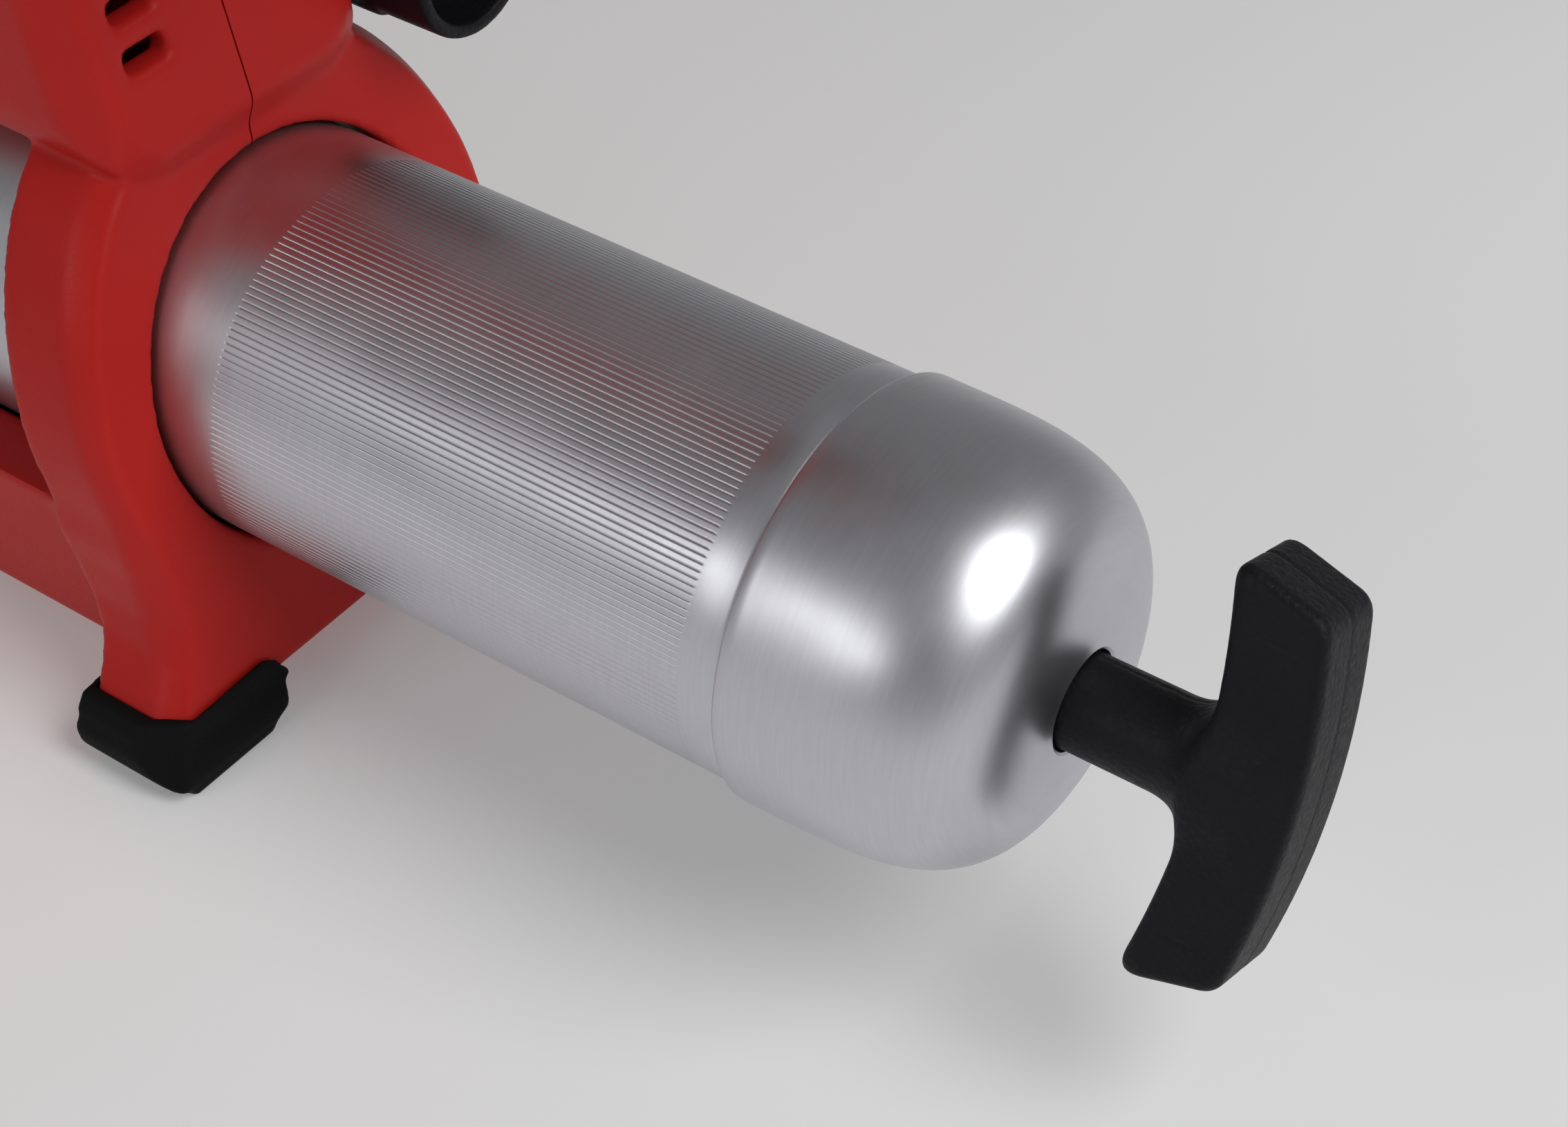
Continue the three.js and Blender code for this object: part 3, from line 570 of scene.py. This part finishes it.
# ---------------------------------------------------------------- rubber boots and the side socket
def boots():
    for name, side in (("rear_foot_left", 1), ("rear_foot_right", -1)):
        low = min(side * 18, side * 54)
        b = Block((-20, low, -54), (20, low + 36, -34), 0.4)
        across = side * b.y
        ring_x = b.x - RING_LEAN * b.z
        upper = [(24.4, -41.4), (22.5, -45.4), (25.3, -48.6), (48.5, -48.6), (49.3, -45),
                 (48.6, -42.6), (47, -40.9), (44.2, -40.4), (27, -39.8)]
        lower = [(23, -46.6), (29, -52), (45.7, -52), (49.5, -48), (49.3, -46.2)]
        cap = greater(polygon(upper, across, b.z), slab(ring_x, -1.2, 17.7), 1)
        tread = greater(polygon(lower, across, b.z), slab(ring_x, -1.4, 17.9), 1.6)
        boot = lesser(cap, tread, 2.5)
        long_legs = polygon(ring_outline(42.9, 47.5, True, LONG_LEG), b.y, b.z)
        boot = greater(boot, slope(long_legs - 1, ring_x, -1.3, *LEG_EDGE), 0.6)
        leg = greater(polygon(ring_outline(42.4, 47, True), b.y, b.z), slab(ring_x, -0.3, 16.9))
        leg = np.maximum(leg, slope(long_legs + 0.4, ring_x, -0.3, *LEG_EDGE))
        under = greater(polygon(beam_outline(-0.4), b.y, b.z), slab(b.x, 2, 60))
        boot = greater(boot, -np.minimum(leg, under), 0.4)
        place(b.mesh(name + "_boot", smoothed(boot, 1), 0.6), "gun", "black_rubber", RUBBER, name)


def coupler_socket():
    b = Block((-6, -52, 30), (24, -21, 64), 0.45)
    arm = [(-23.3, 42.2), (-27.4, 48.2), (-27.4, 60), (-31, 60), (-38, 57), (-38, 36.5),
           (-31, 35.4)]
    arm = greater(polygon(arm, b.y, b.z), slab(b.x, 9, 22), 1.2)
    radial = np.sqrt((b.y + 37.7) ** 2 + (b.z - 46.6) ** 2)
    tube = greater(radial - 12.4, slab(b.x, -4, 14), 1.0)
    holder = lesser(arm, tube, 1.2)
    bore = greater(radial - 10.2, b.x - 11)
    mouth = radial - 7.2
    holder = greater(holder, -np.minimum(bore, mouth), 0.8)
    holder = greater(holder, -round_of(b.x - 18.5, b.z - 55, 2), 0.4)
    place(b.mesh("coupler_socket", holder, 0.5), "gun", "black_plastic", BLACK, "coupler_holder")


# ---------------------------------------------------------------- barrel, cap and plunger
KNURL_REAR, KNURL_FRONT = -89.4, -8.1
GROOVES, PER_GROOVE, GROOVE_DEPTH = 180, 8, 0.12


def barrel():
    def groove(x, radius, i):
        cut = radius > 29.5 and KNURL_REAR < x < KNURL_FRONT and i % PER_GROOVE == 0
        return GROOVE_DEPTH if cut else 0

    rear, front = TUBE_REAR, 146
    outer, inner = 30, 28
    rear_edge = [(rear + 0.5, inner), (rear, inner + 0.4), (rear, outer - 0.5),
                 (rear + 0.15, outer - 0.15), (rear + 0.5, outer)]
    knurl = [(KNURL_REAR - 0.3, outer), (KNURL_REAR, outer), (KNURL_REAR + 0.35, outer),
             (KNURL_FRONT - 0.35, outer), (KNURL_FRONT, outer), (KNURL_FRONT + 0.3, outer)]
    front_edge = [(front - 0.5, outer), (front, outer - 0.5), (front, inner)]
    profile = [*rear_edge, *knurl, *front_edge, rear_edge[0]]
    sleeve = lathe("barrel_sleeve", profile, GROOVES * PER_GROOVE, groove)
    sharpen(place(sleeve, "barrel", "anodised_aluminium", ALUMINIUM, "barrel_tube"), 30)


def dome(radius, depth, start, end_radius, power=3.8, steps=40):
    last = depth * (1 - (end_radius / radius) ** power) ** (1 / power)
    points = []
    for i in range(steps + 1):
        behind = last * math.sin(i / steps * math.pi / 2)
        points.append((-(start + behind), radius * (1 - (behind / depth) ** power) ** (1 / power)))
    return points


def end_cap():
    start, hole = 95.6, 7.2
    outside = dome(31.3, 36, start + 0.6, hole + 1.2)
    inside = dome(28.7, 33.4, start, 12.5, steps=20)
    lip = outside[-1][0]
    front = [(-start, 27.6), (-start, 30.7), (-start - 0.1, 30.95), (-start - 0.3, 31.15)]
    rolled = [(lip - 0.15, hole + 0.5), (lip + 0.1, hole + 0.1), (lip + 0.8, hole)]
    back = [(-121.4, hole), (-121.4, 10), (-113, 10), (-113, 12.5)]
    skirt = -start + 14
    profile = [(skirt, 25.2), (skirt, 27.6), *front, *outside, *rolled, *back,
               *reversed(inside[:-1]), (-start - 2, 25.2), (skirt, 25.2)]
    cap = lathe("domed_cap", profile, 160)
    sharpen(place(cap, "barrel", "anodised_aluminium", ALUMINIUM, "end_cap"), 40)


def t_handle():
    """A bowed bar on a short stem, moulded in two halves, with a scored line near each end."""
    roll = math.radians(21)
    b = Block((-167, -31, -31), (-119, 31, 31), 0.36)
    bar = -b.y * math.sin(roll) + b.z * math.cos(roll)
    flat = b.y * math.cos(roll) + b.z * math.sin(roll)
    behind = -b.x
    span = np.abs(bar - 0.22)
    front = 152.1 - 3.1 * (bar / 28) ** 2 - behind
    rear = behind - 165.6 + 2.8 * (bar / 25.5) ** 2
    end = (span - 29.42) * 0.96 + (behind - 151) * 0.26
    outline = greater(greater(front, end, 3.6), rear, 2)
    grip = greater(outline, np.abs(flat) - 7.8, 2)
    radial = np.sqrt(b.y ** 2 + b.z ** 2)
    stem = greater(radial - 6.8, slab(b.x, -156, -122.2), 0.6)
    made = lesser(grip, stem, 7)
    scored = np.maximum(np.abs(span - 21.5) - 0.2, np.maximum(outline + 3.5, 7.55 - np.abs(flat)))
    made = greater(made, -scored, 0.2)
    made = made + 0.15 * np.maximum(1 - np.abs(flat) / 0.5, 0)
    made = np.maximum(made, -np.maximum(radial - 4.2, behind - 142.6))
    place(b.mesh("pull_handle", made, 0.5), "rod", "black_plastic", BLACK, "t_handle")


# ---------------------------------------------------------------- controls, battery and pump
def line(field, across, half, depth):
    """A shallow line cut into a surface, where across is within half of zero."""
    return greater(field, -np.maximum(np.abs(across) - half, -(field + depth)), 0.25)


def repeat(along, pitch):
    """Distance from the nearest of a row of lines."""
    return (along % pitch) - pitch / 2


def trigger():
    b, field = node_field("trigger", 0.35)
    field = smoothed(field, 7)
    for x in (87, 91, 95, 99):
        field = line(field, np.where(b.z < 131, b.x - x, 9), 0.5, 0.6)
    place(b.mesh("trigger_paddle", field, 0.6), "trigger", "black_plastic", BLACK, "trigger")


def battery():
    b, field = node_field("battery_pack", 0.6)
    field = smoothed(field, 4)
    field = line(field, np.where(b.x < -46.5, b.z - 158, 9), 0.35, 0.7)
    field = line(field, np.where(b.z > 170, repeat(b.x + 76, 5), 9), 0.6, 0.7)
    place(b.mesh("battery_case", field, 0.5), "battery", "black_plastic", BLACK, "battery_pack")
    for side in ("left", "right"):
        b, field = node_field(f"battery_latch_{side}", 0.3)
        field = line(smoothed(field, 4), repeat(b.z, 3), 0.5, 0.6)
        place(b.mesh(f"battery_button_{side}", field, 0.5), f"latch_{side}", "red_plastic", RED,
              f"battery_latch_{side}")
    b, field = node_field("terminal_block", 0.4)
    field = line(smoothed(field, 3), repeat(b.y, 5.4), 0.7, 0.9)
    place(b.mesh("battery_contacts", field, 0.5), "gun", "black_plastic", BLACK, "terminal_block")


def grip_skins():
    """Rubber pads on the sides of the grip, with a diamond tread inside a plain border."""
    for side in ("left", "right"):
        b, field = node_field(f"grip_skin_{side}", 0.4)
        field = smoothed(field, 4)
        tread = np.minimum(np.abs(repeat(b.x + b.z, 5.6)), np.abs(repeat(b.x - b.z, 5.6))) - 0.45
        tread = np.maximum(tread, rounded_box(b.x, b.z, 38, 104, 144, 166, 6))
        field = greater(field, -np.maximum(tread, 21.9 - np.abs(b.y)), 0.3)
        pad = b.mesh(f"grip_pad_{side}", field, 0.45)
        place(pad, "gun", "black_rubber", RUBBER, f"grip_skin_{side}")


def buttons():
    pin = [(-23, 0), (-23.2, 2.4), (-23.5, 3), (-23.5, 4.1),
           (23.5, 4.1), (23.5, 3), (23.2, 2.4), (23, 0)]
    pin = turned("lock_pin", pin, (117, 0, 147), ALONG_Y)
    place(pin, "lock_button", "black_plastic", BLACK, "lock_button")

    def ridge(x, radius, i):
        return 0.3 - 0.3 * math.cos(2 * math.pi * i / 8) if radius > 7.5 else 0

    wheel = [(-4, 0), (-4, 5), (-3.4, 5.6), (-3.6, 7.6), (-3, 8.5),
             (3, 8.5), (3.6, 7.6), (3.4, 5.6), (4, 5), (4, 0)]
    wheel = turned("dial_wheel", wheel, (137, 0, 161), ALONG_Y, 192, ridge)
    place(wheel, "speed_dial", "black_plastic", BLACK, "speed_dial")
    lens = [(166, 0), (166, 4.2), (171, 4.2), (172.2, 3), (172.6, 1.5), (172.7, 0)]
    place(turned("lamp_lens", lens, (0, 0, 82)), "gun", "clear_plastic", CLEAR, "work_light_lens")


def screws():
    def socket(x, radius, i):
        return 0.3 * math.cos(2 * math.pi * i / 16) if 1.2 < radius < 1.75 else 0

    for name, (x, z, head) in SCREWS.items():
        profile = [(head - 1.4, 0), (head - 1.4, 1.5), (head - 3, 1.7), (head - 3, 3),
                   (head - 2.4, 3.6), (head - 0.3, 3.6), (head - 0.3, 1.9), (14, 1.9), (15.5, 0)]
        screw = turned(name + "_torx", profile, (x, 0, z), ALONG_Y, 96, socket)
        place(screw, "gun", "steel", STEEL, name)


def pump():
    b, field = node_field("pump_head", 0.6)
    field = smoothed(field, 5)
    place(b.mesh("pump_casting", field, 0.45), "gun", "cast_metal", CAST, "pump_head")

    b = Block((166, -20, -28), (175, 20, 40), 0.35)
    bolts = None
    for y in (-14.5, 14.5):
        for z in (-21.5, 33.5):
            radial = np.sqrt((b.y - y) ** 2 + (b.z - z) ** 2)
            hexagon = polygon([(y + u, z + v) for u, v in arc(0, 0, 1.7, 1.7, 0, 300, 6)], b.y, b.z)
            head = greater(radial - 3.2, slab(b.x, 168, 173.6), 0.8)
            head = greater(head, -np.maximum(hexagon, 171.6 - b.x), 0.2)
            bolts = head if bolts is None else np.minimum(bolts, head)
    place(b.mesh("pump_bolts", bolts, 0.5), "gun", "steel", STEEL)

    b, field = node_field("front_foot", 0.45)
    field = line(smoothed(field, 4), np.where(b.z < -50.5, repeat(b.x - 128, 4.5), 9), 0.7, 1.0)
    place(b.mesh("front_pad", field, 0.5), "gun", "black_rubber", RUBBER, "front_foot")


def fittings():
    b = Block((162, -10, -16), (194, 10, 4), 0.3)
    radial = np.sqrt(b.y ** 2 + (b.z + 6) ** 2)
    hexagon = polygon(arc(0, -6, 8, 8, 0, 300, 6), b.y, b.z)
    nut = greater(hexagon, slab(b.x, 170.4, 178), 0.5)
    nut = greater(nut, radial - 8.4 + 0.6 * np.abs(b.x - 174.2) - 1.4, 0.4)
    thread = np.where(b.x > 179.5, 0.22 + 0.22 * np.cos(2 * math.pi * b.x / 1.4), 0)
    stem = greater(radial - 4 + thread, slab(b.x, 164, 192), 0.8)
    fitting = greater(lesser(nut, stem, 0.6), -(radial - 1.9), 0.4)
    place(b.mesh("outlet_stem", fitting, 0.5), "gun", "steel", STEEL, "outlet_fitting")

    def knurl(x, radius, i):
        return 0.3 if radius > 5.4 and i % 4 > 1 else 0

    knob = [(4.9, 0), (5.9, 2.7), (20.4, 2.7), (20.4, 4.6), (24, 4.6), (25, 5.6), (31, 5.6),
            (31.6, 5), (31.6, 0)]
    knob = turned("bleed_knob", knob, (*PUMP, 22), ALONG_Y, 96, knurl)
    place(knob, "bleed_valve", "brass", BRASS, "bleed_valve")
    nipple = [(4.9, 0), (5.9, 2.7), (20.4, 2.7), (20.4, 6), (24.5, 6), (24.5, 3), (27, 2.4),
              (29.5, 3.2), (31, 2), (31, 1), (29, 0.8), (29, 0)]
    nipple = turned("filler_stem", nipple, (*PUMP, 22), ALONG_MINUS_Y)
    place(nipple, "gun", "brass", BRASS, "filler_nipple")
    plug = [(-30.8, 0), (-30.8, 2.9), (-33, 3.2), (-33, 7.4), (-28.4, 7.4), (-28.4, 5.9),
            (-15, 5.9), (-15, 0)]

    def rim(x, radius, i):
        return 0.25 if radius > 7 and i % 4 > 1 else 0

    plug = turned("valve_plug", plug, (*PUMP, 0), ALONG_Z, 96, rim)
    place(plug, "gun", "steel", STEEL, "check_valve_plug")


def coil(name, radius, wire, start, stop, turns, at=(0, 0, 0), turn=Matrix.Identity(4)):
    """A spring along X: a round wire carried round a helix, with flat capped ends."""
    mesh = bmesh.new()
    steps, sides, before = turns * 36, 10, None
    for i in range(steps + 1):
        angle = 2 * math.pi * turns * i / steps
        x = start + (stop - start) * i / steps
        ring = []
        for k in range(sides):
            spin = 2 * math.pi * k / sides
            r = radius + wire * math.cos(spin)
            point = (x + wire * math.sin(spin), r * math.cos(angle), r * math.sin(angle))
            ring.append(mesh.verts.new(point))
        if before:
            for k in range(sides):
                mesh.faces.new((before[k], before[(k + 1) % sides], ring[(k + 1) % sides], ring[k]))
        else:
            mesh.faces.new(ring)
        before = ring
    mesh.faces.new(before[::-1])
    bmesh.ops.recalc_face_normals(mesh, faces=mesh.faces)
    piece = from_mesh(name, mesh)
    piece.data.transform(Matrix.Translation(at) @ turn)
    return piece


def springs():
    long_spring = place(coil("follower_coil", 17, 1.2, -123.8, 109.2, 11),
                        "barrel", "steel", STEEL, "follower_spring")
    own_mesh(long_spring)
    short_spring = place(coil("check_coil", 3.6, 0.5, -13.9, -6.9, 4, (*PUMP, 0), ALONG_Z),
                         "gun", "steel", STEEL, "check_spring")
    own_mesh(short_spring)


def plunger():
    rod = [(-142, 0), (-142, 3.9), (143, 3.9), (143, 0)]
    place(turned("plunger_shaft", rod), "rod", "steel", STEEL, "plunger_rod")
    bush = [(-121.1, 4.25), (-121.1, 9.7), (-113.3, 9.7), (-113.3, 4.25), (-121.1, 4.25)]
    place(turned("shaft_bush", bush), "barrel", "black_plastic", BLACK, "rod_bush")


# ---------------------------------------------------------------- camera, light and floor
def studio():
    scene = bpy.context.scene
    camera = bpy.data.objects.new("camera", bpy.data.cameras.new("camera"))
    scene.collection.objects.link(camera)
    across = Vector((-0.8141, -0.5807, 0)).normalized()
    back = Vector((-0.4332, 0.6069, 0.6665)).normalized()
    above = back.cross(across)
    turn = Matrix((across, above, back)).transposed()
    stand = Matrix.Translation(ZERO + Vector((-0.2638, 0.2506, 0.2744)))
    camera.matrix_world = stand @ turn.to_4x4()
    camera.data.sensor_width = 36
    camera.data.lens = 70.16
    camera.data.clip_start = 0.01
    scene.camera = camera

    floor = bpy.data.meshes.new("floor")
    half = 3
    corners = [(-half, -half, 0), (half, -half, 0), (half, half, 0), (-half, half, 0)]
    floor.from_pydata(corners, [], [(0, 1, 2, 3)])
    ground = bpy.data.objects.new("floor", floor)
    scene.collection.objects.link(ground)
    material, _, _, bsdf = shader("pale_floor", Base_Color=(0.72, 0.72, 0.72, 1), Roughness=0.9,
                                Emission_Color=(1, 1, 1, 1), Emission_Strength=0.16)
    floor.materials.append(material)

    # Walls of soft grey, palest at the horizon.
    world = bpy.data.worlds.new("studio")
    scene.world = world
    world.use_nodes = True
    nodes, links = world.node_tree.nodes, world.node_tree.links
    direction = node(nodes, "TexCoord")
    split = node(nodes, "SeparateXYZ")
    links.new(direction.outputs["Generated"], split.inputs["Vector"])
    walls = ramp(nodes, links, split.outputs["Z"],
                 [(0, grey(0.32)), (0.3, grey(0.2)), (1, grey(0.16))])
    links.new(walls.outputs["Color"], nodes["Background"].inputs["Color"])

    softbox("key", (-0.76, -0.05, 0.82), 0.75, 0.75, 7)
    softbox("left_panel", (0.18, 0.85, 0.44), 0.62, 0.3, 1.45)
    scene.view_settings.view_transform = "Standard"


def softbox(name, place_at, wide, tall, power):
    light = bpy.data.lights.new(name, "AREA")
    light.shape = "ELLIPSE"
    light.size, light.size_y = wide, tall
    light.energy = power
    lamp = bpy.data.objects.new(name, light)
    bpy.context.scene.collection.objects.link(lamp)
    lamp.location = ZERO + Vector(place_at)
    aim = ZERO + Vector((-0.05, 0, 0)) - lamp.location
    lamp.rotation_euler = aim.to_track_quat("-Z", "Y").to_euler()


paint_cad_nodes()
housing()
boots()
coupler_socket()
barrel()
end_cap()
t_handle()
plunger()
trigger()
battery()
grip_skins()
buttons()
screws()
pump()
fittings()
springs()
studio()
